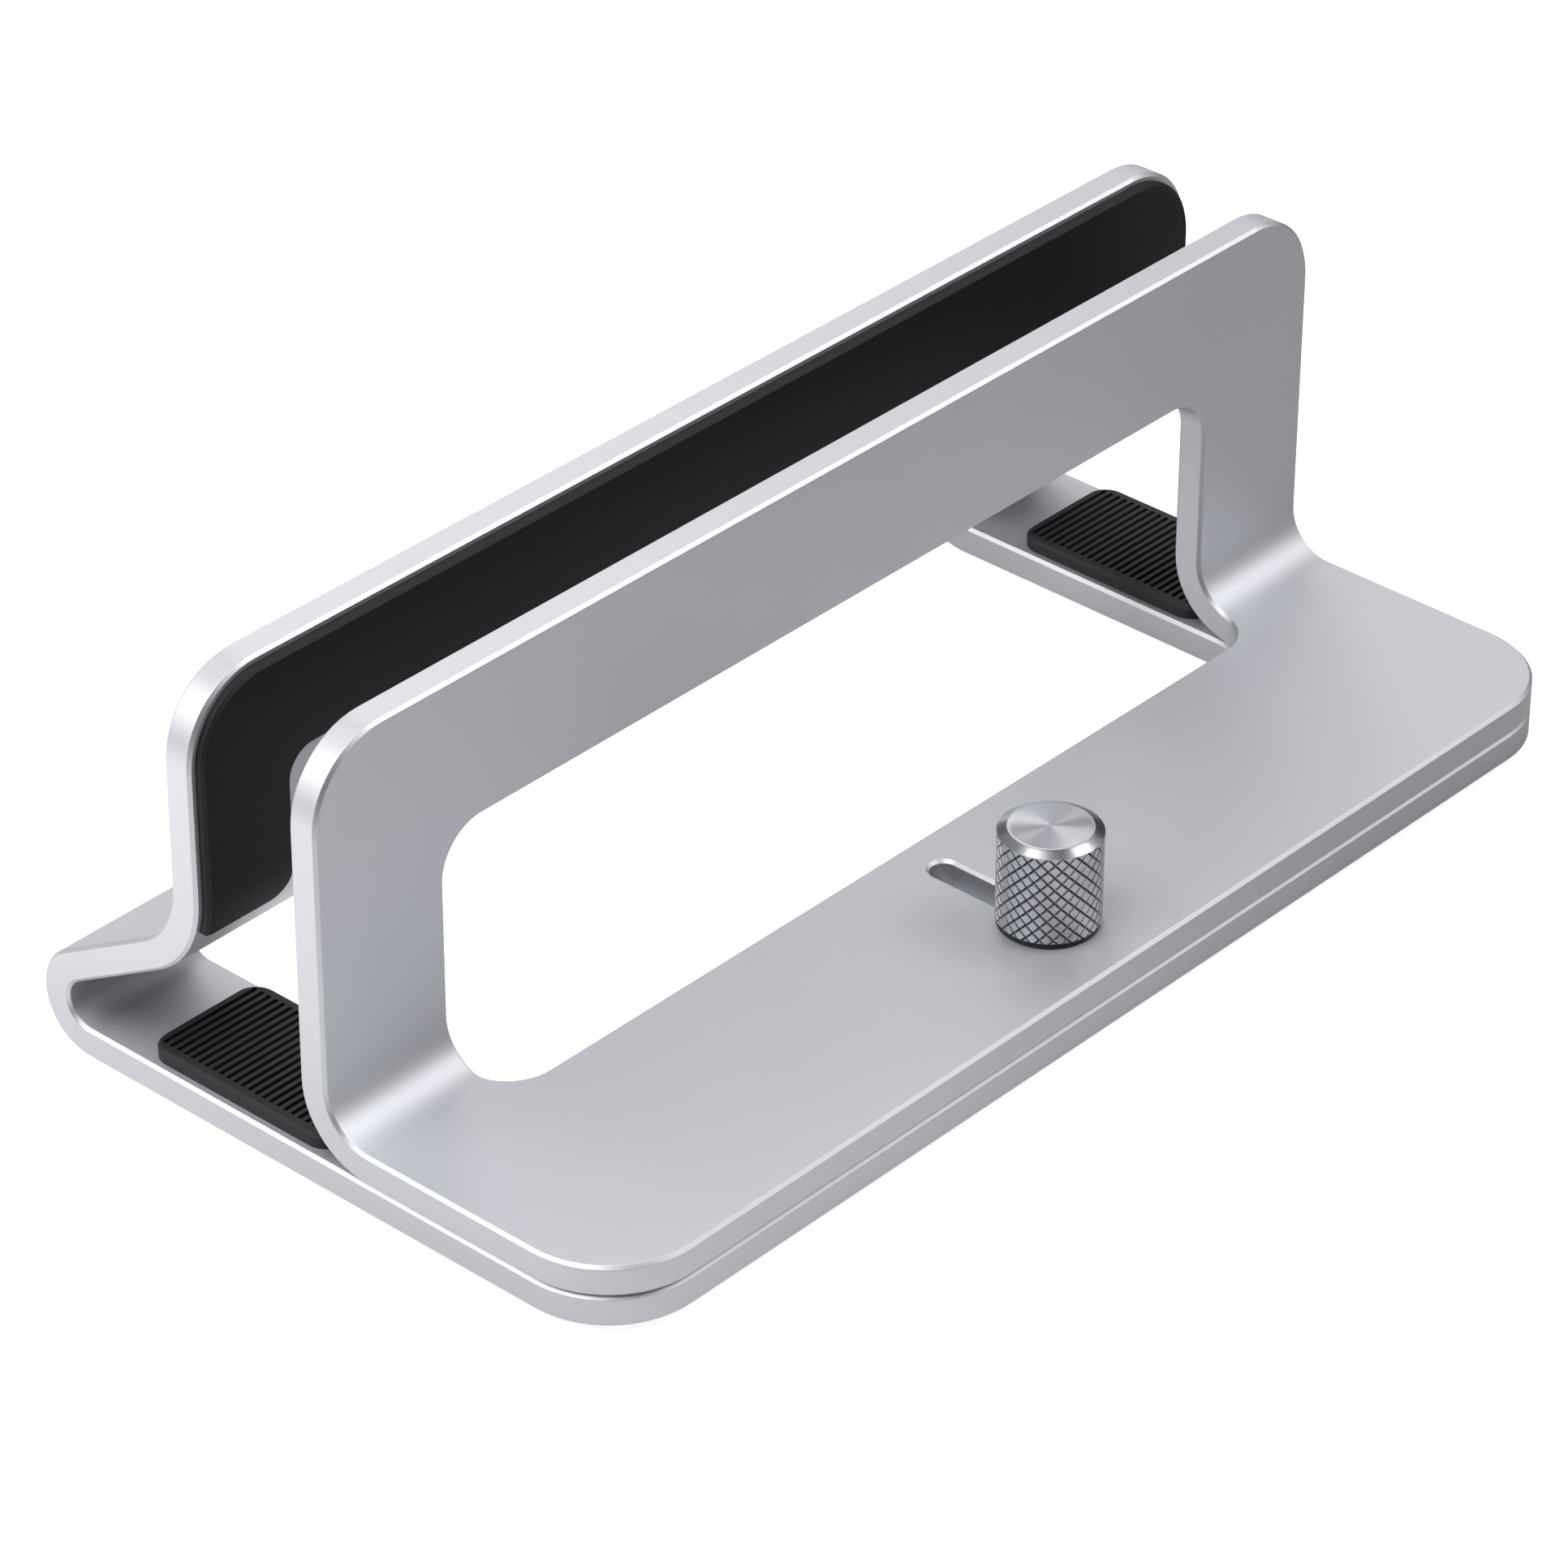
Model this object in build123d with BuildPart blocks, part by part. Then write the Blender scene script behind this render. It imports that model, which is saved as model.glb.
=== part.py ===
"""Vertical laptop stand: two folded aluminium sheets, one sliding on the other.

Frame: X runs along the stand, +Y points to the back, +Z up. The origin is the
middle of the footprint on the surface that the feet stand on. Millimetres.
"""

import os
from math import ceil, pi, radians, sin, tan

from build123d import *

os.makedirs("parts", exist_ok=True)

# Overall sizes
stand_length = 170.0
stand_depth = 88.6
panel_height = 56.8
sheet = 4.0
edge_break = 0.4
foot_height = 0.8

# Outline of the sheets
plate_corner_radius = 12.0
panel_corner_radius = 10.5
leg_width = 19.2
bar_height = 19.2
window_corner_radius = 6.0

# Bends, measured on the side named
shelf_depth = 43.1
shelf_bend_radius = 5.8
window_lead = 9.2
closed_gap = 15.2
hairpin_outer_radius = 7.0
hairpin_slant = 30.0
panel_bend_radius = 10.0

# Adjusting slot and clamp
screw_inset = 11.75
slot_width = 3.5
slot_web = 4.65
stud_diameter = 3.0
stud_head_diameter = 4.0
stud_grip = 8.0
stud_tip_lift = 0.5
insert_bore_clearance = 0.05
insert_body_diameter = 5.0
insert_flange_diameter = 8.0
insert_flange = 1.2
washer_diameter = 12.0
washer_bore = 3.6
washer_thickness = 0.7

# Knob
knob_diameter = 12.4
knob_height = 12.3
knob_chamfer_in = 1.2
knob_chamfer_down = 0.65
knurl_starts = 24
knurl_rise = 1.7
knurl_depth = 0.3
knurl_land_share = 0.62

# Pads on the panels' inner faces
panel_pad = 1.2
rear_pad_inset = 0.9
front_pad_inset = 1.6
pad_window_margin = 5.2
pad_inner_radius = 3.5
pad_heel_radius = 0.8
pad_wrap_angle = 21.0
pad_rim_chamfer = 0.4

# Ribbed strips that the laptop stands on
rest_pad = 1.65
rest_pad_margin = 1.1
rest_pad_bend_clearance = 0.9
rest_pad_hairpin_inset = 8.6
rest_pad_corner_radius = 3.0
rest_pad_rim_chamfer = 0.4
rib_pitch = 1.133
rib_groove_width = 0.57
rib_groove_depth = 0.6
rib_side_border = 1.3
rib_end_border = 1.45

# Feet
foot_width = 14.0
foot_length = 22.0
foot_corner_radius = 4.0
foot_end_inset = 6.3
foot_hairpin_inset = 3.0

# Planes and lines that the pieces share
half_length = stand_length / 2
front_edge = -stand_depth / 2
rear_edge = stand_depth / 2
base_bottom = foot_height
base_top = base_bottom + sheet
shelf_top = base_top + sheet
panel_top = base_bottom + panel_height
window_half = half_length - leg_width
window_top = panel_top - bar_height

front_panel_face = front_edge + shelf_depth
front_panel_back = front_panel_face + sheet
rear_panel_face = front_panel_back + closed_gap
rear_panel_back = rear_panel_face + sheet
window_front = front_panel_face - window_lead

screw_y = front_edge + screw_inset
slot_rear = window_front - slot_web - slot_width / 2
slot_travel = slot_rear - screw_y

# Hairpin and panel bend of the rear bracket, in the YZ plane
slant = radians(hairpin_slant)
hairpin_center = rear_edge - hairpin_outer_radius
fold_corner_y = hairpin_center + hairpin_outer_radius / tan(slant / 2)
fold_corner_z = base_bottom + (fold_corner_y - rear_panel_back) * tan(slant)
bend_tangent = panel_bend_radius * tan((pi / 2 - slant) / 2)
bend_center_y = rear_panel_back + panel_bend_radius
bend_center_z = fold_corner_z + bend_tangent
bend_face_radius = panel_bend_radius + sheet


def cut_edges(part):
    """Edges where two faces meet at an angle: the sheet's rims, but no bend lines."""

    def is_cut(edge):
        sides = [face for face in part.faces() if any(edge.is_same(other) for other in face.edges())]
        middle = edge @ 0.5
        return len(sides) == 2 and sides[0].normal_at(middle).dot(sides[1].normal_at(middle)) < 0.7

    return ShapeList([edge for edge in part.edges() if is_cut(edge)])


def window_profile(bottom):
    """Rectangle from a height up to the window's top, with its upper corners rounded."""
    with BuildSketch() as profile:
        with Locations((0, bottom)):
            Rectangle(2 * window_half, window_top - bottom, align=(Align.CENTER, Align.MIN))
        fillet(profile.vertices().group_by(Axis.Y)[-1], window_corner_radius)
    return profile.sketch


def window_plan(rear):
    """Plan of the window from its front edge back to a line, with its front corners rounded."""
    with BuildSketch() as plan:
        with Locations((0, window_front)):
            Rectangle(2 * window_half, rear - window_front, align=(Align.CENTER, Align.MIN))
        fillet(plan.vertices().group_by(Axis.Y)[0], window_corner_radius)
    return plan.sketch


# Rear bracket: base plate, hairpin, slanted wall and panel, folded from one sheet
window_through_plate = window_plan(rear_edge + sheet)
window_through_rear = window_profile(base_bottom - sheet)
with BuildPart() as rear_bracket:
    with BuildSketch(Plane.YZ):
        with BuildLine():
            FilletPolyline(
                (front_edge, base_bottom),
                (fold_corner_y, base_bottom),
                (rear_panel_back, fold_corner_z),
                (rear_panel_back, panel_top),
                radius=[hairpin_outer_radius, panel_bend_radius],
            )
            offset(amount=sheet, side=Side.LEFT)
        make_face()
    extrude(amount=half_length, both=True)
    fillet(rear_bracket.edges().filter_by(Axis.Z).group_by(Axis.Y)[0], plate_corner_radius)
    fillet(rear_bracket.edges().filter_by(Axis.Y).group_by(Axis.Z)[-1], panel_corner_radius)
    with BuildSketch(Plane.XY.offset(base_bottom - sheet)):
        add(window_through_plate)
    extrude(amount=3 * sheet, mode=Mode.SUBTRACT)
    with BuildSketch(Plane.XZ.offset(-rear_panel_face + sheet)):
        add(window_through_rear)
    extrude(amount=rear_panel_face - rear_edge - 2 * sheet, mode=Mode.SUBTRACT)
    chamfer(cut_edges(rear_bracket.part), edge_break)
    with Locations(Location((0, screw_y, base_bottom), (180, 0, 0))):
        CounterBoreHole(insert_body_diameter / 2, insert_flange_diameter / 2, insert_flange, sheet)
rear_bracket.part.label = "rear_bracket"
export_step(rear_bracket.part, "parts/rear_bracket.step")

# Front bracket: shelf plate with its adjusting slot and panel, folded from one sheet
window_through_shelf = window_plan(front_panel_back + sheet)
window_through_front = window_profile(base_top - sheet)
with BuildPart() as front_bracket:
    with BuildSketch(Plane.YZ):
        with BuildLine():
            FilletPolyline(
                (front_edge, shelf_top),
                (front_panel_face, shelf_top),
                (front_panel_face, panel_top),
                radius=shelf_bend_radius,
            )
            offset(amount=sheet, side=Side.RIGHT)
        make_face()
    extrude(amount=half_length, both=True)
    fillet(front_bracket.edges().filter_by(Axis.Z).group_by(Axis.Y)[0], plate_corner_radius)
    fillet(front_bracket.edges().filter_by(Axis.Y).group_by(Axis.Z)[-1], panel_corner_radius)
    with BuildSketch(Plane.XY.offset(base_top - sheet)):
        add(window_through_shelf)
    extrude(amount=2.5 * sheet, mode=Mode.SUBTRACT)
    with BuildSketch(Plane.XZ.offset(-window_front - window_corner_radius)):
        add(window_through_front)
    extrude(amount=window_front + window_corner_radius - front_panel_back - sheet, mode=Mode.SUBTRACT)
    with BuildSketch(Plane.XY.offset(base_top)):
        with Locations((0, (screw_y + slot_rear) / 2)):
            SlotCenterToCenter(slot_travel, slot_width, rotation=90)
    extrude(amount=sheet, mode=Mode.SUBTRACT)
    chamfer(cut_edges(front_bracket.part), edge_break)
front_bracket.part.label = "front_bracket"
export_step(front_bracket.part, "parts/front_bracket.step")

# Clinch nut pressed flush into the underside of the base plate
with BuildPart() as threaded_insert:
    with BuildSketch(Plane.XY.offset(base_bottom)):
        with Locations((0, screw_y)):
            Circle(insert_flange_diameter / 2)
    extrude(amount=insert_flange)
    with BuildSketch(Plane.XY.offset(base_bottom + insert_flange)):
        with Locations((0, screw_y)):
            Circle(insert_body_diameter / 2)
    extrude(amount=sheet - insert_flange)
    with Locations((0, screw_y, base_top)):
        Hole(stud_diameter / 2 + insert_bore_clearance)
threaded_insert.part.label = "threaded_insert"
export_step(threaded_insert.part, "parts/threaded_insert.step")

# Washer between the shelf and the knob
with BuildPart() as washer:
    with BuildSketch(Plane.XY.offset(shelf_top)):
        with Locations((0, screw_y)):
            Circle(washer_diameter / 2)
            Circle(washer_bore / 2, mode=Mode.SUBTRACT)
    extrude(amount=washer_thickness)
washer.part.label = "washer"
export_step(washer.part, "parts/washer.step")

# Knob: a diamond-knurled bar, turned to a chamfered head and bored from below for the stud
knob_bottom = shelf_top + washer_thickness
knob_top = knob_bottom + knob_height
knob_radius = knob_diameter / 2
knob_chamfer_slope = knob_chamfer_down / knob_chamfer_in
knurl_root_radius = knob_radius - knurl_depth
knurl_half_turn = 180.0 / knurl_starts
knurl_half_rise = knurl_rise / 2
knurl_top_row = knob_top - knob_chamfer_down
knurl_rows = ceil((knurl_top_row - knob_bottom) / knurl_half_rise)


def knurl_point(radius, column, row):
    """Point of the knurl's lattice: columns go round the knob, rows down from the chamfer's edge."""
    spot = Vector(radius, 0, knurl_top_row - row * knurl_half_rise)
    return spot.rotate(Axis.Z, column * knurl_half_turn) + Vector(0, screw_y, 0)


def knurl_diamond(radius, share, column, row):
    """Top, left, bottom and right corners of a diamond that fills a share of one lattice cell."""
    steps = ((0, -share), (-share, 0), (0, share), (share, 0))
    return [knurl_point(radius, column + across, row + down) for across, down in steps]


def facet(*corners):
    """Flat face between corners."""
    return Face(Wire.make_polygon(corners))


def knurl_cell(column, row):
    """One tooth of the knurl: its diamond land and the four slopes down to the grooves."""
    land = knurl_diamond(knob_radius, knurl_land_share, column, row)
    root = knurl_diamond(knurl_root_radius, 1, column, row)
    top, left, bottom, right = land
    faces = [facet(top, left, bottom), facet(top, bottom, right)]
    for here, there in ((0, 1), (1, 2), (2, 3), (3, 0)):
        faces.append(facet(land[here], root[here], root[there]))
        faces.append(facet(land[here], root[there], land[there]))
    return faces


def knurl_end(row, outward):
    """Facets from the zigzag outline of an end row to the knob's axis."""
    center = Vector(0, screw_y, knurl_top_row - (row + outward) * knurl_half_rise)
    faces = []
    for column in range(row % 2, 2 * knurl_starts, 2):
        before, peak, after = (
            knurl_point(knurl_root_radius, column - 1, row),
            knurl_point(knurl_root_radius, column, row + outward),
            knurl_point(knurl_root_radius, column + 1, row),
        )
        faces.append(facet(before, peak, center))
        faces.append(facet(peak, after, center))
    return faces


def knurled_bar():
    """Bar with a diamond knurl, one row longer than the knob at both ends."""
    faces = knurl_end(-1, -1) + knurl_end(knurl_rows, 1)
    for row in range(-1, knurl_rows + 1):
        for column in range(row % 2, 2 * knurl_starts, 2):
            faces += knurl_cell(column, row)
    return Solid(Shell(faces))


with BuildPart() as knob:
    with BuildSketch(Plane.XZ.offset(-screw_y)):
        with BuildLine():
            Polyline(
                (0, knob_bottom),
                (knob_radius + knurl_depth, knob_bottom),
                (knob_radius + knurl_depth, knurl_top_row - knurl_depth * knob_chamfer_slope),
                (knob_radius - knob_chamfer_in, knob_top),
                (0, knob_top),
                close=True,
            )
        make_face()
    revolve(axis=Axis((0, screw_y, 0), (0, 0, 1)))
    add(knurled_bar(), mode=Mode.INTERSECT)
    with Locations(Location((0, screw_y, knob_bottom), (180, 0, 0))):
        Hole(stud_head_diameter / 2, stud_grip)
knob.part.label = "knob"
export_step(knob.part, "parts/knob.step")

# Threaded stud pressed into the knob, down through the slot and into the clinch nut
stud_tip = base_bottom + stud_tip_lift
with BuildPart() as clamp_screw:
    with BuildSketch(Plane.XY.offset(stud_tip)):
        with Locations((0, screw_y)):
            Circle(stud_diameter / 2)
    extrude(amount=knob_bottom - stud_tip)
    chamfer(clamp_screw.faces().sort_by(Axis.Z)[0].edges(), edge_break)
    with BuildSketch(Plane.XY.offset(knob_bottom)):
        with Locations((0, screw_y)):
            Circle(stud_head_diameter / 2)
    extrude(amount=stud_grip)
clamp_screw.part.label = "clamp_screw"
export_step(clamp_screw.part, "parts/clamp_screw.step")

# Panel pads: an inverted U on each panel's inner face, its rim eased
pad_bottom = bend_center_z - bend_face_radius * sin(radians(pad_wrap_angle))


def panel_pad_outline(inset):
    """The pad's inverted U as seen from the front, held in from the panel's edges."""
    half_width = half_length - inset
    inner_half = window_half + pad_window_margin
    inner_top = window_top + pad_window_margin
    with BuildSketch() as outline:
        with Locations((0, pad_bottom)):
            Rectangle(2 * half_width, panel_top - inset - pad_bottom, align=(Align.CENTER, Align.MIN))
            Rectangle(
                2 * inner_half, inner_top - pad_bottom, align=(Align.CENTER, Align.MIN), mode=Mode.SUBTRACT
            )
        tops = outline.vertices().group_by(Axis.Y)
        fillet(tops[-1], panel_corner_radius - inset)
        fillet(outline.vertices().group_by(Axis.Y)[1], pad_inner_radius)
        heels = outline.vertices().group_by(Axis.Y)[0].sort_by(Axis.X)
        fillet([heels[0], heels[-1]], pad_heel_radius)
        fillet(outline.vertices().group_by(Axis.Y)[0].sort_by(Axis.X)[1:3], pad_inner_radius)
    return outline.sketch


def rim_edges(part, direction):
    """Edges around those faces of a part that look along a direction."""
    faces = ShapeList([face for face in part.faces() if face.normal_at().dot(Vector(direction)) > 0.7])
    edges = [edge for face in faces for edge in face.edges()]
    return ShapeList([edge for edge in edges if sum(edge.is_same(other) for other in edges) == 1])


rear_pad_outline = panel_pad_outline(rear_pad_inset)
with BuildPart() as rear_panel_pad:
    with BuildSketch(Plane.YZ):
        with BuildLine():
            Line((rear_panel_face, panel_top), (rear_panel_face, bend_center_z))
            CenterArc((bend_center_y, bend_center_z), bend_face_radius, 180, 2 * pad_wrap_angle)
            offset(amount=panel_pad, side=Side.RIGHT)
        make_face()
    extrude(amount=half_length, both=True)
    with BuildSketch(Plane.XZ.offset(-rear_panel_back)):
        add(rear_pad_outline)
    extrude(amount=rear_panel_back - front_panel_back, mode=Mode.INTERSECT)
    chamfer(rim_edges(rear_panel_pad.part, (0, -1, 0)), pad_rim_chamfer)
rear_panel_pad.part.label = "rear_panel_pad"
export_step(rear_panel_pad.part, "parts/rear_panel_pad.step")

front_pad_outline = panel_pad_outline(front_pad_inset)
with BuildPart() as front_panel_pad:
    with BuildSketch(Plane.XZ.offset(-front_panel_back)):
        add(front_pad_outline)
    extrude(amount=-panel_pad)
    chamfer(rim_edges(front_panel_pad.part, (0, 1, 0)), pad_rim_chamfer)
front_panel_pad.part.label = "front_panel_pad"
export_step(front_panel_pad.part, "parts/front_panel_pad.step")

# Rest pads: ribbed strips on the base's side strips, from behind the shelf bend to the hairpin
bend_outer_radius = shelf_bend_radius + sheet
shelf_bend_y = front_panel_face - shelf_bend_radius
bend_over_pad = sheet + shelf_bend_radius - rest_pad
rest_pad_front = shelf_bend_y + ((bend_outer_radius + rest_pad_bend_clearance) ** 2 - bend_over_pad**2) ** 0.5
rest_pad_rear = hairpin_center - rest_pad_hairpin_inset
rest_pad_length = rest_pad_rear - rest_pad_front
rest_pad_width = leg_width - 2 * rest_pad_margin
rib_count = int((rest_pad_length - 2 * rib_end_border) / rib_pitch) + 1
strip_center = (window_half + half_length) / 2
for side_name, side in (("left", -1), ("right", 1)):
    with BuildPart() as rest:
        with BuildSketch(Plane.XY.offset(base_top)):
            with Locations((side * strip_center, rest_pad_front)):
                RectangleRounded(
                    rest_pad_width,
                    rest_pad_length,
                    rest_pad_corner_radius,
                    align=(Align.CENTER, Align.MIN),
                )
        extrude(amount=rest_pad)
        chamfer(rim_edges(rest.part, (0, 0, 1)), rest_pad_rim_chamfer)
        with BuildSketch(Plane.XY.offset(base_top + rest_pad - rib_groove_depth)):
            for rib in range(rib_count):
                with Locations((side * strip_center, rest_pad_rear - rib_end_border - rib * rib_pitch)):
                    Rectangle(rest_pad_width - 2 * rib_side_border, rib_groove_width)
        extrude(amount=rib_groove_depth, mode=Mode.SUBTRACT)
    rest.part.label = f"{side_name}_rest_pad"
    export_step(rest.part, f"parts/{side_name}_rest_pad.step")

# Feet: four thin pads under the base's side strips
foot_rows = (
    ("front", front_edge + foot_end_inset + foot_length / 2),
    ("rear", hairpin_center - foot_hairpin_inset - foot_length / 2),
)
for row_name, row_y in foot_rows:
    for side_name, side in (("left", -1), ("right", 1)):
        with BuildPart() as foot:
            with BuildSketch():
                with Locations((side * strip_center, row_y)):
                    RectangleRounded(foot_width, foot_length, foot_corner_radius)
            extrude(amount=foot_height)
        foot.part.label = f"{row_name}_{side_name}_foot"
        export_step(foot.part, f"parts/{row_name}_{side_name}_foot.step")
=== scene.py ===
"""Dresses the vertical laptop stand: finishes, knurled knob, threads, light and camera.

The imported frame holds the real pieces. This script gives each one its finish,
adds the fine forms that only show close up, and sets up a plain studio.
Lengths here are metres unless a name ends in _mm.
"""

import logging
import math
from dataclasses import dataclass, field
from enum import Enum
from typing import Any, Dict, List, Optional, Sequence, Tuple

import bpy
import numpy as np
from mathutils import Matrix, Vector


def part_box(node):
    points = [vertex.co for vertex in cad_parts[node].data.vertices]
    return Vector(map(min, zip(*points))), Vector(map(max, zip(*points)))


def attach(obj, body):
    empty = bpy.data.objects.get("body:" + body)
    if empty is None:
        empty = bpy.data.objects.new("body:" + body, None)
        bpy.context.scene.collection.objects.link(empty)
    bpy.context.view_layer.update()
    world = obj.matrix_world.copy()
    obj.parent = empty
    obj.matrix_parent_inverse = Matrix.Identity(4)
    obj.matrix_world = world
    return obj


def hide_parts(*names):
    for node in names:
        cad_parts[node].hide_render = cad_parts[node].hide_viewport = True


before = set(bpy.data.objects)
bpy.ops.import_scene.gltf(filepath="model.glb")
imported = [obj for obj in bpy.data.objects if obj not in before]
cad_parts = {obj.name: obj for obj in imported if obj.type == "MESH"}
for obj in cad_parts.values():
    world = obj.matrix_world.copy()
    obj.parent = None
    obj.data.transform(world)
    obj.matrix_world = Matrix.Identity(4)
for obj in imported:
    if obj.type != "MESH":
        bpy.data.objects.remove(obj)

LOG = logging.getLogger("laptop_stand")
MM = 0.001

WHITE = (1.0, 1.0, 1.0, 1.0)
NOISE_RANGE = {"From Min": 0.3, "From Max": 0.7}

Rgb = Tuple[float, float, float]
Socket = bpy.types.NodeSocket


def linear(hex_colour: str) -> Rgb:
    """Turns an sRGB hex colour into linear light.

    Args:
        hex_colour: Six hex digits, with or without a leading hash.

    Returns:
        Red, green and blue from 0 to 1, linear.
    """
    digits = hex_colour.lstrip("#")
    channels = [int(digits[i:i + 2], 16) / 255.0 for i in (0, 2, 4)]
    return tuple(c / 12.92 if c <= 0.04045 else ((c + 0.055) / 1.055) ** 2.4 for c in channels)


class Slot(Enum):
    """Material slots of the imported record."""

    SHEET = "anodised_sheet"
    TURNED = "turned_aluminium"
    PAD = "pad_silicone"
    RIBBED = "ribbed_rubber"
    WASHER = "washer_nylon"
    STEEL = "steel"
    FOOT = "foot_silicone"


class Nodes:
    """The node tree of a material or a world, with one short way to add and wire a node."""

    def __init__(self, owner: bpy.types.ID) -> None:
        """Clears the owner's node tree.

        Args:
            owner: The new material or world.
        """
        owner.use_nodes = True
        self.owner = owner
        self.tree = owner.node_tree
        self.tree.nodes.clear()

    def add(self, kind: str, inputs: Optional[Dict[Any, Any]] = None, **settings: Any) -> bpy.types.Node:
        """Adds a node.

        Args:
            kind: The node type without its ShaderNode prefix.
            inputs: Socket name or index to a value, or to a socket to link from.
            settings: Attributes of the node.

        Returns:
            The new node.
        """
        node = self.tree.nodes.new("ShaderNode" + kind)
        for key, value in settings.items():
            setattr(node, key, value)
        for key, value in (inputs or {}).items():
            if isinstance(value, Socket):
                self.tree.links.new(value, node.inputs[key])
            else:
                node.inputs[key].default_value = value
        return node

    def math(self, operation: str, a: Any, b: Any = 0.0) -> Socket:
        """Adds a Math node.

        Args:
            operation: Blender's name of the operation.
            a: First number or socket.
            b: Second number or socket.

        Returns:
            The result socket.
        """
        return self.add("Math", {0: a, 1: b}, operation=operation).outputs[0]

    def noise(self, size: float, detail: float, **inputs: Any) -> Socket:
        """Adds a noise on Object coordinates.

        Args:
            size: Size of its features, in metres.
            detail: Number of finer layers.
            inputs: Other sockets of the node and their values.

        Returns:
            The noise, about 0.5 on average.
        """
        place = self.add("TexCoord").outputs["Object"]
        sockets = {"Vector": place, "Scale": 1.0 / size, "Detail": detail, **inputs}
        return self.add("TexNoise", sockets).outputs[0]

    def principled(self, inputs: Dict[str, Any]) -> bpy.types.Material:
        """Ends the tree in a Principled shader.

        Args:
            inputs: Socket name to value or socket.

        Returns:
            The finished material.
        """
        shader = self.add("BsdfPrincipled", inputs)
        self.add("OutputMaterial", {"Surface": shader.outputs[0]})
        return self.owner


def rgba(colour: Rgb) -> Tuple[float, float, float, float]:
    """Adds an alpha of one.

    Args:
        colour: Linear red, green and blue.

    Returns:
        The colour as four numbers.
    """
    return (*colour, 1.0)


@dataclass(frozen=True)
class BeadBlastedAnodised:
    """Folded aluminium sheet: bead blasted, then clear anodised.

    The blasting leaves shallow dimples about 0.15 mm across that scatter
    the light evenly, drawn a little coarser so that they show, and the oxide
    layer adds faint cloudy variation. The milled edges stay a little smoother
    than the faces, and their colour is darkened by painted shade that tones
    down how bright the lamps make them.
    """

    top_rim_level: float
    name: str = "bead_blasted_anodised_aluminium"
    colour: str = "#C4C5CA"
    roughness: float = 0.60
    rim_roughness: float = 0.48
    rim_painted_shade: float = 0.9
    side_facing: Tuple[float, float] = (0.02, 0.5)
    end_facing: Tuple[float, float] = (0.7, 1.0)
    plate_top_level: float = 9.0 * MM
    dimple_mm: float = 0.26
    dimple_height_mm: float = 0.008
    dimple_strength: float = 0.35
    cloud_mm: float = 45.0
    cloud_tones: Tuple[float, float] = (0.975, 1.02)
    edge_round_mm: float = 0.12
    edge_samples: int = 4

    def clouded(self, n: Nodes) -> Socket:
        """Adds the oxide's faint clouds, a little darker and lighter than the colour.

        Args:
            n: The node tree.

        Returns:
            The colour.
        """
        cloud = n.noise(self.cloud_mm * MM, 3.0, Roughness=0.5)
        ramp = n.add("ValToRGB", {"Fac": cloud})
        base = linear(self.colour)
        for element, place, tone in zip(ramp.color_ramp.elements, NOISE_RANGE.values(), self.cloud_tones):
            element.position = place
            element.color = rgba(tuple(min(1.0, c * tone) for c in base))
        return ramp.outputs[0]

    def milled(self, n: Nodes) -> Socket:
        """Tells the milled edges from the faces, by where they face and how high they lie.

        No face of the folded sheet looks left or right, so what does is an
        edge, and so is what lies at the panels' tops. Low down, what looks to
        the front or the back counts as an edge too, which takes in the foot
        of the hairpin's back. The windows' top edges are left out.

        Args:
            n: The node tree.

        Returns:
            1 on a milled edge and 0 on a face.
        """
        space = n.add("TexCoord").outputs
        facing = n.add("SeparateXYZ", {0: space["Normal"]}).outputs
        level = n.add("SeparateXYZ", {0: space["Object"]}).outputs[2]
        looks = []
        for axis, (none, full) in enumerate((self.side_facing, self.end_facing)):
            share = {"Value": n.math("ABSOLUTE", facing[axis]), "From Min": none, "From Max": full}
            looks.append(n.add("MapRange", share).outputs[0])
        low_rim = n.math("MULTIPLY", looks[1], n.math("LESS_THAN", level, self.plate_top_level))
        top_rim = n.math("GREATER_THAN", level, self.top_rim_level)
        return n.math("MAXIMUM", n.math("MAXIMUM", looks[0], low_rim), top_rim)

    def build(self) -> bpy.types.Material:
        """Builds the material.

        Returns:
            The material.
        """
        n = Nodes(bpy.data.materials.new(self.name))
        rim = self.milled(n)
        # The rim's painted shade darkens the colour of the milled edges, toning down how bright the lamps
        # make them; their lower roughness is the machining's own.
        shade = n.add("MapRange", {"Value": rim, "To Min": 1.0, "To Max": self.rim_painted_shade}).outputs[0]
        shaded = n.add("VectorMath", {0: self.clouded(n), "Scale": shade}, operation="SCALE").outputs[0]
        rough = n.add("MapRange", {"Value": rim, "To Min": self.roughness, "To Max": self.rim_roughness})
        rounded = n.add("Bevel", {"Radius": self.edge_round_mm * MM}, samples=self.edge_samples)
        grain = n.noise(self.dimple_mm * MM, 2.0, Roughness=0.6)
        bump = n.add("Bump", {"Strength": self.dimple_strength, "Distance": self.dimple_height_mm * MM,
                              "Height": grain, "Normal": rounded.outputs[0]})
        return n.principled({"Base Color": shaded, "Metallic": 1.0, "Roughness": rough.outputs[0],
                             "Normal": bump.outputs[0]})


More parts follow.
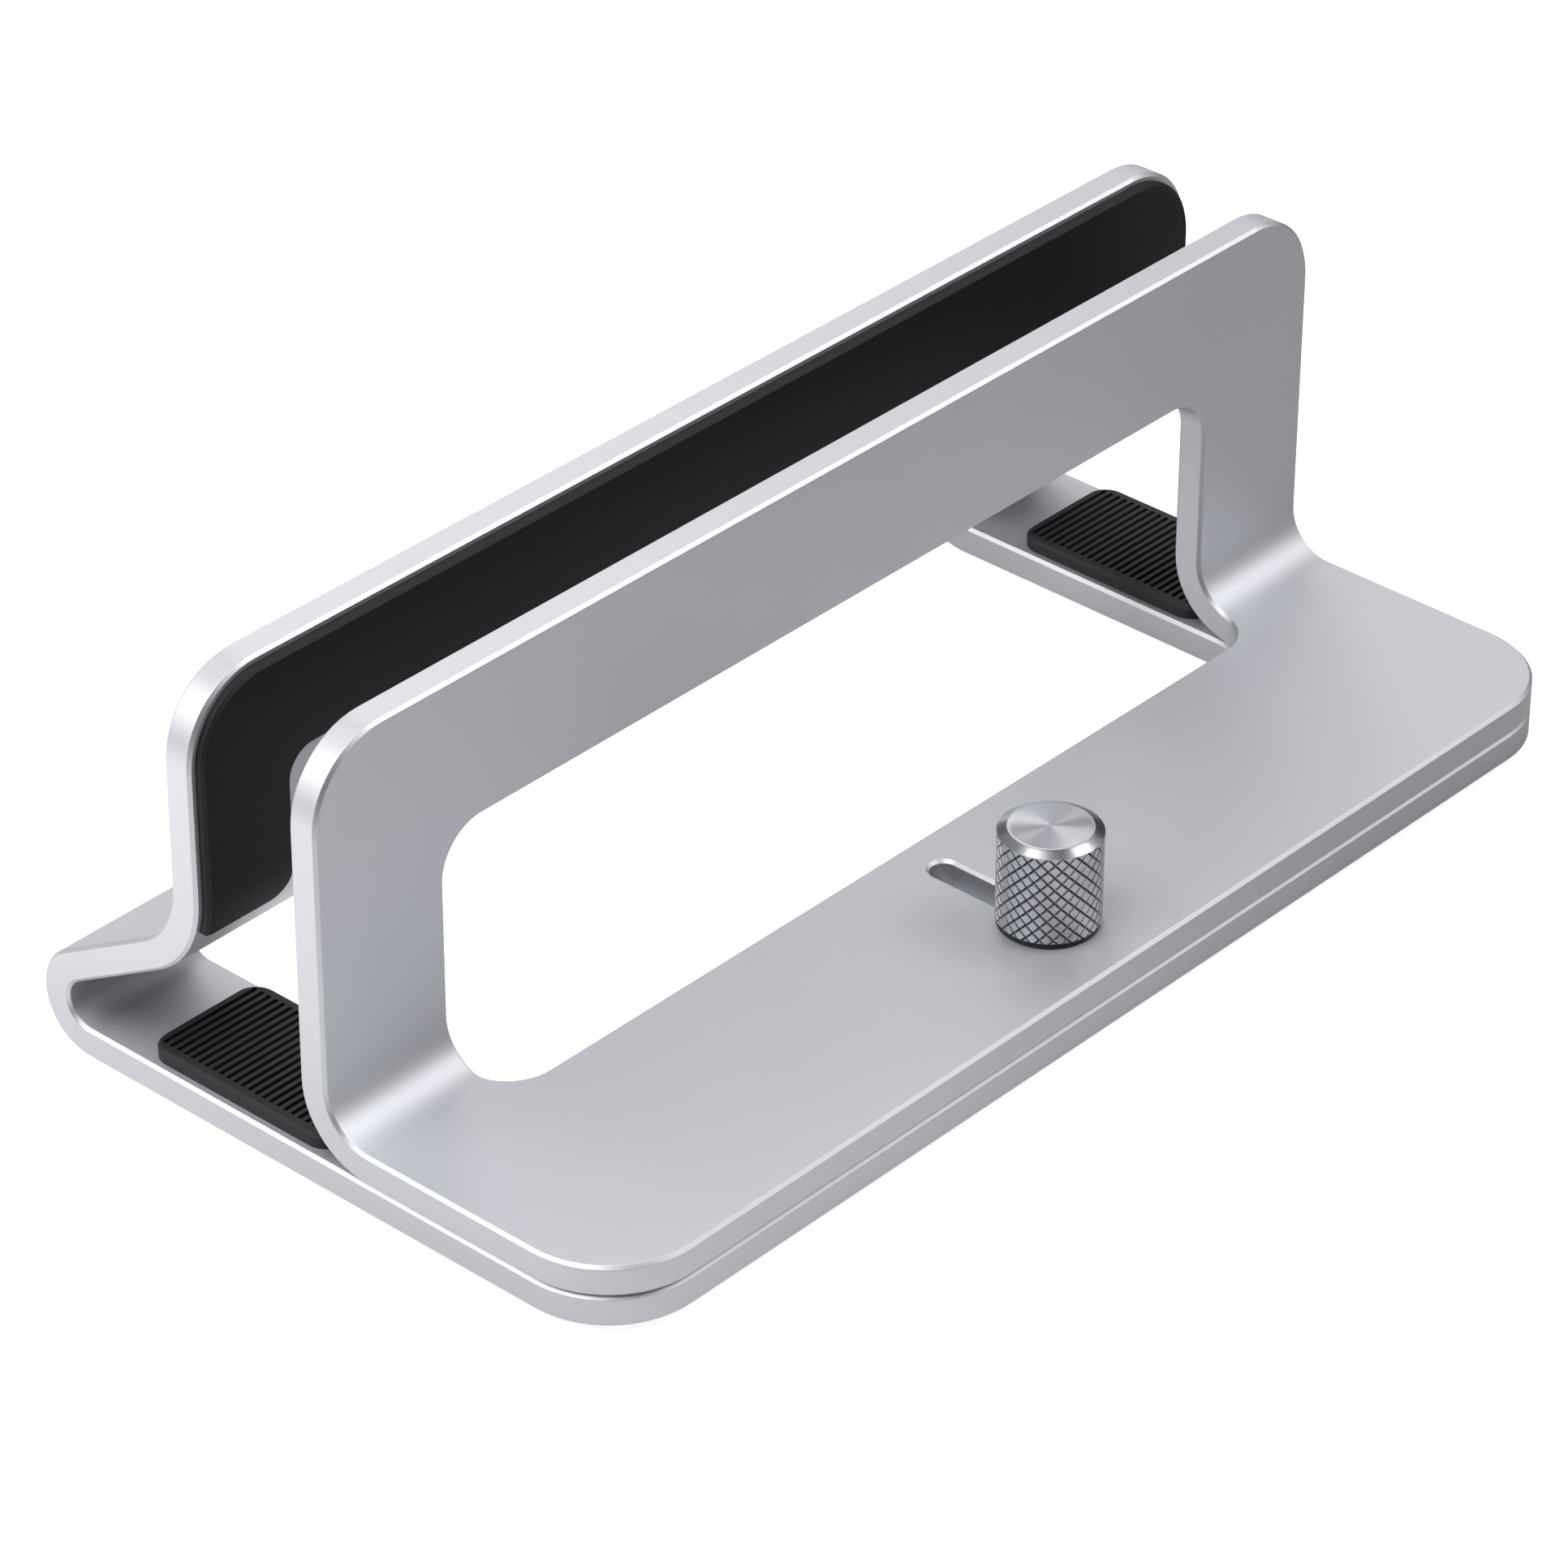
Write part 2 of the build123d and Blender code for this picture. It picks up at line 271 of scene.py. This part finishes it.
@dataclass(frozen=True)
class MatteMoulding:
    """Matte silicone, rubber or nylon: the mould's blasted grain keeps it dull, with a broad soft sheen."""

    name: str
    colour: str
    roughness: float = 0.62
    roughness_spread: float = 0.05
    grain_mm: float = 0.25
    grain_height_mm: float = 0.006
    grain_strength: float = 0.4
    specular: float = 0.3

    def build(self) -> bpy.types.Material:
        """Builds the material.

        Returns:
            The material.
        """
        n = Nodes(bpy.data.materials.new(self.name))
        grain = n.noise(self.grain_mm * MM, 3.0)
        bump = n.add("Bump", {"Strength": self.grain_strength, "Distance": self.grain_height_mm * MM,
                              "Height": grain})
        rough = n.add("MapRange", {"Value": grain, **NOISE_RANGE,
                                   "To Min": self.roughness - self.roughness_spread,
                                   "To Max": self.roughness + self.roughness_spread})
        return n.principled({"Base Color": rgba(linear(self.colour)), "Roughness": rough.outputs[0],
                             "Specular IOR Level": self.specular, "Normal": bump.outputs[0]})


@dataclass(frozen=True)
class ZincPlatedSteel:
    """Machined steel with a thin bright zinc plating, uneven in gloss over about a millimetre."""

    name: str = "zinc_plated_steel"
    colour: str = "#B4B4B2"
    roughness: float = 0.32
    roughness_spread: float = 0.06
    cloud_mm: float = 1.0 / 0.9

    def build(self) -> bpy.types.Material:
        """Builds the material.

        Returns:
            The material.
        """
        n = Nodes(bpy.data.materials.new(self.name))
        cloud = n.noise(self.cloud_mm * MM, 2.0)
        rough = n.add("MapRange", {"Value": cloud, **NOISE_RANGE,
                                   "To Min": self.roughness - self.roughness_spread,
                                   "To Max": self.roughness + self.roughness_spread})
        return n.principled({"Base Color": rgba(linear(self.colour)), "Metallic": 1.0,
                             "Roughness": rough.outputs[0]})


@dataclass(frozen=True)
class RoundPlace:
    """Where a point lies from an upright axis."""

    axis_xy: Tuple[float, float]

    def centred(self, n: Nodes) -> Socket:
        """Adds the offset of a point from the axis, with its height kept.

        Args:
            n: The node tree.

        Returns:
            The offset vector.
        """
        place = n.add("TexCoord").outputs["Object"]
        return n.add("VectorMath", {0: place, 1: (*self.axis_xy, 0.0)}, operation="SUBTRACT").outputs[0]

    def radius(self, n: Nodes) -> Socket:
        """Adds the distance of a point from the axis.

        Args:
            n: The node tree.

        Returns:
            The distance in metres.
        """
        xyz = n.add("SeparateXYZ", {0: self.centred(n)})
        flat = n.add("CombineXYZ", {0: xyz.outputs[0], 1: xyz.outputs[1]}).outputs[0]
        return n.add("VectorMath", {0: flat}, operation="LENGTH").outputs["Value"]


@dataclass(frozen=True)
class FacedAluminium:
    """Bar aluminium cut on a lathe, then clear anodised.

    The tool's feed leaves rings round the axis, so the shader stretches its
    reflections across them: on the flat head the lamps open into a fan.
    """

    axis_xy: Tuple[float, float]
    name: str = "faced_aluminium"
    colour: str = "#D8D9DE"
    roughness: float = 0.27
    anisotropy: float = 0.9
    feed_mm: float = 0.11
    feed_height_mm: float = 0.003
    feed_strength: float = 0.5

    def build(self) -> bpy.types.Material:
        """Builds the material.

        Returns:
            The material.
        """
        n = Nodes(bpy.data.materials.new(self.name))
        place = RoundPlace(self.axis_xy)
        feeds = n.math("DIVIDE", place.radius(n), self.feed_mm * MM)
        rings = n.add("TexNoise", {"W": feeds, "Scale": 1.0, "Detail": 2.0}, noise_dimensions="1D")
        bump = n.add("Bump", {"Strength": self.feed_strength, "Distance": self.feed_height_mm * MM,
                              "Height": rings.outputs[0]})
        around = n.add("VectorMath", {0: place.centred(n), 1: (0.0, 0.0, 1.0)}, operation="CROSS_PRODUCT")
        way = n.add("VectorMath", {0: around.outputs[0]}, operation="NORMALIZE").outputs[0]
        return n.principled({"Base Color": rgba(linear(self.colour)), "Metallic": 1.0,
                             "Roughness": self.roughness, "Anisotropic": self.anisotropy, "Tangent": way,
                             "Normal": bump.outputs[0]})


@dataclass(frozen=True)
class KnurledAluminium:
    """Rolled knurl on bar aluminium: bright lands, and grooves coloured darker towards the root, which is
    painted shade in the grooves.
    """

    axis_xy: Tuple[float, float]
    land_radius: float
    groove_depth: float
    name: str = "knurled_aluminium"
    land_colour: str = "#AEAFB3"
    groove_painted_shade_colour: str = "#7E7F85"
    land_edge_share: float = 0.15
    roughness: float = 0.36
    grain_mm: float = 0.09
    grain_height_mm: float = 0.004
    grain_strength: float = 0.4

    def build(self) -> bpy.types.Material:
        """Builds the material.

        Returns:
            The material.
        """
        n = Nodes(bpy.data.materials.new(self.name))
        radius = RoundPlace(self.axis_xy).radius(n)
        # The colour darkens from the lands down into the grooves: painted shade in the grooves.
        height = n.add("MapRange", {"Value": radius, "From Min": self.land_radius - self.groove_depth,
                                    "From Max": self.land_radius - self.land_edge_share * self.groove_depth})
        ramp = n.add("ValToRGB", {"Fac": height.outputs[0]})
        for element, colour in zip(ramp.color_ramp.elements, (self.groove_painted_shade_colour, self.land_colour)):
            element.color = rgba(linear(colour))
        grain = n.noise(self.grain_mm * MM, 2.0)
        bump = n.add("Bump", {"Strength": self.grain_strength, "Distance": self.grain_height_mm * MM,
                              "Height": grain})
        return n.principled({"Base Color": ramp.outputs[0], "Metallic": 1.0, "Roughness": self.roughness,
                             "Normal": bump.outputs[0]})


@dataclass(frozen=True)
class ThreadedSteel:
    """Zinc plated screw steel with its rolled thread, which winds up the shank."""

    axis_xy: Tuple[float, float]
    name: str = "threaded_zinc_plated_steel"
    colour: str = "#B4B4B2"
    roughness: float = 0.3
    pitch_mm: float = 0.5
    thread_depth_mm: float = 0.25

    def build(self) -> bpy.types.Material:
        """Builds the material.

        Returns:
            The material.
        """
        n = Nodes(bpy.data.materials.new(self.name))
        xyz = n.add("SeparateXYZ", {0: RoundPlace(self.axis_xy).centred(n)})
        turn = n.math("DIVIDE", n.math("ARCTAN2", xyz.outputs[1], xyz.outputs[0]), 2 * math.pi)
        rise = n.math("DIVIDE", xyz.outputs[2], self.pitch_mm * MM)
        flank = n.math("PINGPONG", n.math("SUBTRACT", rise, turn), 0.5)
        bump = n.add("Bump", {"Strength": 1.0, "Distance": self.thread_depth_mm * MM, "Height": flank})
        return n.principled({"Base Color": rgba(linear(self.colour)), "Metallic": 1.0,
                             "Roughness": self.roughness, "Normal": bump.outputs[0]})


@dataclass(frozen=True)
class KnurledKnob:
    """The clamp knob: diamond-knurled side, chamfered and faced head, bore for the stud.

    Its surface is a stack of rings round the screw's axis, each turned half a
    step from the one below, so that mesh lines run along both hands of the knurl.
    A point at angle a and drop d below the chamfer has the helical coordinates
    h = a / tooth angle plus and minus d / rise. The nearer a coordinate is to a
    half, the deeper the point lies in that groove, and the deeper groove wins.
    The grooves run out just under the chamfer, so its lower edge is a clean line.
    """

    starts: int = 24
    rise_mm: float = 1.7
    groove_mm: float = 0.3
    land_share: float = 0.74
    chamfer_in_mm: float = 1.2
    chamfer_down_mm: float = 0.65
    foot_chamfer_mm: float = 0.14
    run_out_mm: float = 0.35
    head_round_mm: float = 0.14
    bore_radius_mm: float = 2.0
    bore_depth_mm: float = 8.0
    steps: int = 8
    cone_rings: int = 4
    round_rings: int = 5
    head_rings: int = 11
    pole_mm: float = 0.02
    crease_deg: float = 24.0

    def groove(self, helical: np.ndarray) -> np.ndarray:
        """Depth of one hand's grooves, from 0 on a land to 1 at the root.

        Args:
            helical: Helical coordinate, in teeth.

        Returns:
            The share of the full depth.
        """
        off_land = 2.0 * np.abs(helical - np.round(helical))
        return np.clip((off_land - self.land_share) / (1.0 - self.land_share), 0.0, 1.0)

    def side_radius(self, angle: np.ndarray, height: np.ndarray, low: float, high: float) -> np.ndarray:
        """Radius of the knurled side, cut back by the head's and the foot's chamfers.

        Args:
            angle: Angles round the axis, in radians.
            height: Heights, in mm.
            low: Height of the knob's underside, in mm.
            high: Height of its top, in mm.

        Returns:
            Radii in mm.
        """
        drop = high - self.chamfer_down_mm - height
        around = angle * self.starts / (2.0 * math.pi)
        wound = drop / self.rise_mm
        depth = np.maximum(self.groove(around + wound), self.groove(around - wound))
        depth = depth * np.clip(drop / self.run_out_mm, 0.0, 1.0)
        knurl = self.outer_mm - self.groove_mm * depth
        head = self.outer_mm + self.chamfer_in_mm * drop / self.chamfer_down_mm
        foot = self.outer_mm - self.foot_chamfer_mm + (height - low)
        return np.minimum(knurl, np.minimum(head, foot))

    @property
    def outer_mm(self) -> float:
        """Radius over the lands, in mm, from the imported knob."""
        low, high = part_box("knob")
        return (high[0] - low[0]) / (2.0 * MM)

    def head_profile(self, high: float) -> np.ndarray:
        """Rounded edge and flat face of the head, from the chamfer in to the axis.

        The edge is a quadratic curve with the sharp corner as its middle point.

        Args:
            high: Height of the knob's top, in mm.

        Returns:
            Rows of radius and height, in mm.
        """
        corner = np.array([self.outer_mm - self.chamfer_in_mm, high])
        down = np.array([self.chamfer_in_mm, -self.chamfer_down_mm])
        start = corner + down / np.linalg.norm(down) * self.head_round_mm
        end = corner - np.array([self.head_round_mm, 0.0])
        t = np.linspace(0.0, 1.0, self.round_rings)[:, None]
        edge = (1 - t) ** 2 * start + 2 * t * (1 - t) * corner + t ** 2 * end
        inner = np.linspace(end[0], self.pole_mm, self.head_rings + 1)[1:]
        return np.vstack([edge, np.column_stack([inner, np.full(len(inner), high)])])

    def bore(self, low: float) -> np.ndarray:
        """Closed end, wall and mouth of the bore, from the axis out and down.

        Args:
            low: Height of the knob's underside, in mm.

        Returns:
            Rows of radius and height, in mm.
        """
        end = low + self.bore_depth_mm
        return np.array([[self.pole_mm, end], [self.bore_radius_mm, end], [self.bore_radius_mm, low]])

    def side_heights(self, low: float, high: float) -> np.ndarray:
        """Heights of the side's rings: a half tooth's rise in steps, down from the chamfer, then the cone.

        Args:
            low: Height of the knob's underside, in mm.
            high: Height of its top, in mm.

        Returns:
            Heights in mm, from the foot up.
        """
        step = self.rise_mm / 2 / self.steps
        top_row = high - self.chamfer_down_mm
        rows_down = int(math.ceil((top_row - low) / step))
        knurl = np.maximum(top_row - step * np.arange(rows_down, -1, -1), low)
        cone = np.linspace(top_row, self.head_profile(high)[0, 1], self.cone_rings + 2)[1:-1]
        return np.concatenate([knurl, cone])

    def triangles(self, stagger: np.ndarray) -> np.ndarray:
        """Joins each ring to the one above, with triangles that lean the way the rings are turned.

        Args:
            stagger: For each ring, 1 where it is turned by half a step.

        Returns:
            Rows of three point numbers: first those with a side below, then those with a side above.
        """
        columns = self.starts * self.steps
        row, column = np.meshgrid(np.arange(len(stagger) - 1), np.arange(columns), indexing="ij")
        here, beside = row * columns + column, row * columns + (column + 1) % columns
        above, above_beside = here + columns, beside + columns
        turned = stagger[:-1, None] == 1
        first = np.stack([here, beside, np.where(turned, above_beside, above)], axis=-1)
        second = np.stack([np.where(turned, here, beside), above_beside, above], axis=-1)
        return np.concatenate([first.reshape(-1, 3), second.reshape(-1, 3)])

    def surface(self) -> Tuple[np.ndarray, np.ndarray, np.ndarray]:
        """Works out the knob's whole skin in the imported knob's place.

        Each point is its ring's radius carried round the axis by its angle.
        The rings run from the bore's closed end, out of the mouth, up the side
        and in over the head.

        Returns:
            Points in metres, triangles, and each triangle's finish: 0 for the
            knurl and the bore, 1 for the chamfer and 2 for the top.
        """
        low_corner, high_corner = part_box("knob")
        low, high = low_corner[2] / MM, high_corner[2] / MM
        axis_x = (low_corner[0] + high_corner[0]) / 2
        axis_y = (low_corner[1] + high_corner[1]) / 2
        bore, side, head = self.bore(low), self.side_heights(low, high), self.head_profile(high)
        level = np.concatenate([bore[:, 1], side, head[:, 1]])
        chamfer_ring = len(bore) + len(side) - self.cone_rings - 1
        face_ring = len(bore) + len(side) + 1
        columns = self.starts * self.steps
        stagger = (np.arange(len(level)) - chamfer_ring) % 2
        angle = (np.arange(columns)[None, :] + 0.5 * stagger[:, None]) * 2 * math.pi / columns
        knurled = self.side_radius(angle[len(bore):len(bore) + len(side)], side[:, None], low, high)
        inner, outer = (np.repeat(rows[:, :1], columns, axis=1) for rows in (bore, head))
        radius = np.vstack([inner, knurled, outer])
        points = np.stack([radius * np.cos(angle) * MM + axis_x, radius * np.sin(angle) * MM + axis_y,
                           np.repeat(level[:, None], columns, axis=1) * MM], axis=-1).reshape(-1, 3)
        ring = np.arange(len(level) - 1)
        finish = (ring >= chamfer_ring).astype(int) + (ring >= face_ring)
        return points, self.triangles(stagger), np.tile(finish.repeat(columns), 2)

    def build(self, side: bpy.types.Material, chamfer: bpy.types.Material,
              head: bpy.types.Material) -> bpy.types.Object:
        """Builds the knob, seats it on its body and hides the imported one.

        Args:
            side: Finish of the knurl.
            chamfer: Finish of the head's chamfer.
            head: Finish of the top.

        Returns:
            The knob.
        """
        points, triangles, finish = self.surface()
        mesh = bpy.data.meshes.new("knurled_knob")
        mesh.vertices.add(len(points))
        mesh.vertices.foreach_set("co", points.astype(np.float32).ravel())
        mesh.loops.add(triangles.size)
        mesh.loops.foreach_set("vertex_index", triangles.astype(np.int32).ravel())
        mesh.polygons.add(len(triangles))
        mesh.polygons.foreach_set("loop_start", np.arange(0, triangles.size, 3, dtype=np.int32))
        for material in (side, chamfer, head):
            mesh.materials.append(material)
        mesh.polygons.foreach_set("material_index", finish.astype(np.int32))
        mesh.update(calc_edges=True)
        mesh.validate()
        mesh.shade_smooth()
        mesh.set_sharp_from_angle(angle=math.radians(self.crease_deg))
        knob = bpy.data.objects.new("knurled_knob", mesh)
        bpy.context.scene.collection.objects.link(knob)
        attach(knob, "clamp_knob")
        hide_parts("knob")
        return knob


@dataclass(frozen=True)
class PhotoCamera:
    """The camera that took the photograph, as solved from the stand's straight edges."""

    target: Tuple[float, float, float] = (-0.008276, 0.00075, 0.016854)
    azimuth_deg: float = -48.137
    elevation_deg: float = 32.875
    roll_deg: float = 0.209
    distance: float = 0.7645
    lens_mm: float = 151.42
    sensor_mm: float = 36.0
    clip_start: float = 0.01

    def create(self) -> bpy.types.Object:
        """Creates the camera and makes it the scene's.

        Returns:
            The camera object.
        """
        az = math.radians(self.azimuth_deg)
        el = math.radians(self.elevation_deg)
        out = Vector((math.sin(az) * math.cos(el), -math.cos(az) * math.cos(el), math.sin(el)))
        right = Vector((math.cos(az), math.sin(az), 0.0))
        up = out.cross(right)
        roll = Matrix.Rotation(math.radians(self.roll_deg), 3, "Z")
        turned = (Matrix((right, up, out)).transposed() @ roll).to_4x4()
        data = bpy.data.cameras.new("photo_camera")
        data.lens = self.lens_mm
        data.sensor_width = self.sensor_mm
        data.clip_start = self.clip_start
        data.dof.use_dof = False
        camera = bpy.data.objects.new("photo_camera", data)
        camera.matrix_world = Matrix.Translation(Vector(self.target) + out * self.distance) @ turned
        bpy.context.scene.collection.objects.link(camera)
        bpy.context.scene.camera = camera
        return camera


@dataclass(frozen=True)
class Softbox:
    """One rectangular area lamp, aimed at the stand."""

    name: str
    place: Tuple[float, float, float]
    size: Tuple[float, float]
    watts: float
    aim: Tuple[float, float, float] = (0.0, 0.0, 0.02)

    def create(self) -> bpy.types.Object:
        """Creates the lamp.

        Returns:
            The lamp object.
        """
        data = bpy.data.lights.new(self.name, "AREA")
        data.shape = "RECTANGLE"
        data.size, data.size_y = self.size
        data.energy = self.watts
        lamp = bpy.data.objects.new(self.name, data)
        lamp.location = self.place
        away = Vector(self.place) - Vector(self.aim)
        lamp.rotation_euler = away.to_track_quat("Z", "Y").to_euler()
        bpy.context.scene.collection.objects.link(lamp)
        return lamp


@dataclass(frozen=True)
class LightPool:
    """A soft round pool of light on the floor, like a light card, which only reflections show."""

    place: Tuple[float, float]
    radius: float
    strength: float

    def glow(self, n: Nodes, place: Socket) -> Socket:
        """Adds the pool: its strength times exp(-(distance / radius) squared).

        Args:
            n: The floor's node tree.
            place: Object coordinates.

        Returns:
            The glow's strength.
        """
        away = n.add("VectorMath", {0: place, 1: (*self.place, 0.0)}, operation="DISTANCE")
        share = n.math("DIVIDE", away.outputs["Value"], self.radius)
        falloff = n.math("EXPONENT", n.math("MULTIPLY", n.math("MULTIPLY", share, share), -1.0))
        return n.math("MULTIPLY", falloff, self.strength)


@dataclass
class Studio:
    """A plain pale floor, a white world for the camera and a ring of softboxes."""

    floor_half: float = 3.0
    floor_colour: str = "#A2A2A2"
    camera_fill: float = 0.86
    world_light: float = 0.06
    pools: List[LightPool] = field(default_factory=lambda: [
        LightPool((-0.17, 0.12), 0.11, 1.68),
        LightPool((-0.15, -0.02), 0.08, 0.60),
        LightPool((-0.04, -0.09), 0.07, 0.44),
        LightPool((0.045, 0.02), 0.03, 0.55),
        LightPool((-0.045, 0.03), 0.03, 0.9),
    ])
    boxes: List[Softbox] = field(default_factory=lambda: [
        Softbox("front_right_box", (0.568, -0.568, 0.912), (0.7, 0.7), 9.0),
        Softbox("low_right_back_box", (0.807, 0.807, 0.391), (0.7, 0.7), 2.3),
        Softbox("left_back_box", (-0.463, 0.463, 0.479), (0.45, 0.45), 0.9),
        Softbox("low_left_back_box", (-0.807, 0.807, 0.391), (0.7, 0.7), 4.2),
        Softbox("high_back_box", (0.215, 0.405, 0.675), (0.45, 0.45), 0.9),
        Softbox("top_left_box", (-0.35, 0.02, 0.70), (0.5, 0.5), 6.2),
        Softbox("right_box", (0.791, 0.139, 0.912), (0.7, 0.7), 1.0),
        Softbox("back_box", (0.315, 0.592, 0.456), (0.45, 0.45), 0.6),
    ])

    def build_floor(self) -> bpy.types.Object:
        """Lays the floor plane, which keeps the stand's shadow.

        Returns:
            The floor object.
        """
        n = Nodes(bpy.data.materials.new("studio_floor"))
        path = n.add("LightPath")
        place = n.add("TexCoord").outputs["Object"]
        pooled = 0.0
        for pool in self.pools:
            pooled = n.math("ADD", pooled, pool.glow(n, place))
        mirrored = n.math("MULTIPLY", path.outputs["Is Glossy Ray"], pooled)
        seen = n.math("MULTIPLY", path.outputs["Is Camera Ray"], self.camera_fill)
        paint = n.add("BsdfDiffuse", {"Color": rgba(linear(self.floor_colour))})
        glow = n.add("Emission", {"Color": WHITE, "Strength": n.math("ADD", seen, mirrored)})
        both = n.add("AddShader", {0: paint.outputs[0], 1: glow.outputs[0]})
        n.add("OutputMaterial", {"Surface": both.outputs[0]})
        h = self.floor_half
        mesh = bpy.data.meshes.new("studio_floor")
        mesh.from_pydata([(-h, -h, 0.0), (h, -h, 0.0), (h, h, 0.0), (-h, h, 0.0)], [], [(0, 1, 2, 3)])
        mesh.materials.append(n.owner)
        floor = bpy.data.objects.new("studio_floor", mesh)
        bpy.context.scene.collection.objects.link(floor)
        return floor

    def build_world(self) -> None:
        """Shows the camera and clear things a white world, and lights with a dimmer one."""
        n = Nodes(bpy.data.worlds.new("studio_world"))
        path = n.add("LightPath").outputs
        shown = n.math("MAXIMUM", path["Is Camera Ray"], path["Is Transmission Ray"])
        dim = n.add("Background", {"Color": WHITE, "Strength": self.world_light})
        white = n.add("Background", {"Color": WHITE, "Strength": 1.0})
        mix = n.add("MixShader", {0: shown, 1: dim.outputs[0], 2: white.outputs[0]})
        n.add("OutputWorld", {0: mix.outputs[0]})
        bpy.context.scene.world = n.owner

    def build(self) -> None:
        """Builds floor, world and lamps, and reports them."""
        LOG.info("%s: floor", self.build_floor().name)
        self.build_world()
        for box in self.boxes:
            LOG.info("%s: lamp of %.1f W", box.create().name, box.watts)


def node(name: str) -> bpy.types.Object:
    """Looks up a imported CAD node.

    Args:
        name: The node's name.

    Returns:
        Its object.
    """
    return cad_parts[name]


def dress(names: Sequence[str], slot: Slot, material: bpy.types.Material) -> None:
    """Gives CAD nodes a finish in every material place they have, and reports each one.

    Args:
        names: Node names.
        slot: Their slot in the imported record.
        material: The finish.
    """
    for name in names:
        mesh = node(name).data
        if not mesh.materials:
            mesh.materials.append(material)
        for index in range(len(mesh.materials)):
            mesh.materials[index] = material
        LOG.info("%s: %s, slot %s", name, material.name, slot.value)


@dataclass(frozen=True)
class FoldedSheets:
    """The two folded brackets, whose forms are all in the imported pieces."""

    rim_depth_mm: float = 0.5

    def dress(self) -> None:
        """Blasts and anodises both: what lies less than the rim depth under the top is a milled edge."""
        rim_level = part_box("rear_bracket")[1][2] - self.rim_depth_mm * MM
        dress(["rear_bracket", "front_bracket"], Slot.SHEET, BeadBlastedAnodised(rim_level).build())


@dataclass(frozen=True)
class Clamp:
    """What holds the front bracket: knob, washer, stud and clinch nut, all round one upright axis."""

    knob: KnurledKnob = KnurledKnob()
    chamfer_painted_shade_colour: str = "#A6A7AA"
    chamfer_roughness: float = 0.26
    washer_roughness: float = 0.5

    def dress(self) -> None:
        """Builds the finer knob and dresses the rest as packed."""
        low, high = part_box("knob")
        axis = ((low[0] + high[0]) / 2, (low[1] + high[1]) / 2)
        knurl = KnurledAluminium(axis, self.knob.outer_mm * MM, self.knob.groove_mm * MM).build()
        # The narrow chamfer shows the lamps as plain patches, so nothing is stretched there. Its colour is
        # darker than the faced head's: painted shade on the chamfer.
        chamfer = FacedAluminium(axis, "chamfered_aluminium", self.chamfer_painted_shade_colour, self.chamfer_roughness,
                                 anisotropy=0.0).build()
        dress(["knob"], Slot.TURNED, knurl)
        built = self.knob.build(knurl, chamfer, FacedAluminium(axis).build())
        LOG.info("%s: in the packed knob's place, slot %s", built.name, Slot.TURNED.value)
        nylon = MatteMoulding("black_nylon", "#0E0E10", self.washer_roughness).build()
        dress(["washer"], Slot.WASHER, nylon)
        dress(["clamp_screw"], Slot.STEEL, ThreadedSteel(axis).build())
        dress(["threaded_insert"], Slot.STEEL, ZincPlatedSteel().build())


@dataclass(frozen=True)
class SoftPieces:
    """The pads that touch the laptop and the feet that touch the desk."""

    pad_colour: str = "#0D0D0F"
    ribbed_colour: str = "#1B1B1D"
    foot_colour: str = "#202022"

    def dress(self) -> None:
        """Gives each its silicone or rubber."""
        pads = MatteMoulding("matte_silicone", self.pad_colour).build()
        dress(["rear_panel_pad", "front_panel_pad"], Slot.PAD, pads)
        ribbed = MatteMoulding("ribbed_rubber", self.ribbed_colour).build()
        dress(["left_rest_pad", "right_rest_pad"], Slot.RIBBED, ribbed)
        feet = [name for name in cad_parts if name.endswith("_foot")]
        dress(feet, Slot.FOOT, MatteMoulding("foot_silicone", self.foot_colour).build())


def main() -> None:
    """Dresses the frame and builds the studio."""
    logging.basicConfig(level=logging.INFO)
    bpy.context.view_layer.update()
    FoldedSheets().dress()
    Clamp().dress()
    SoftPieces().dress()
    Studio().build()
    LOG.info("%s: camera", PhotoCamera().create().name)
    bpy.context.scene.view_settings.view_transform = "Standard"

    LOG.info("pieces: %d", len(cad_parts))


if __name__ == "__main__":
    main()
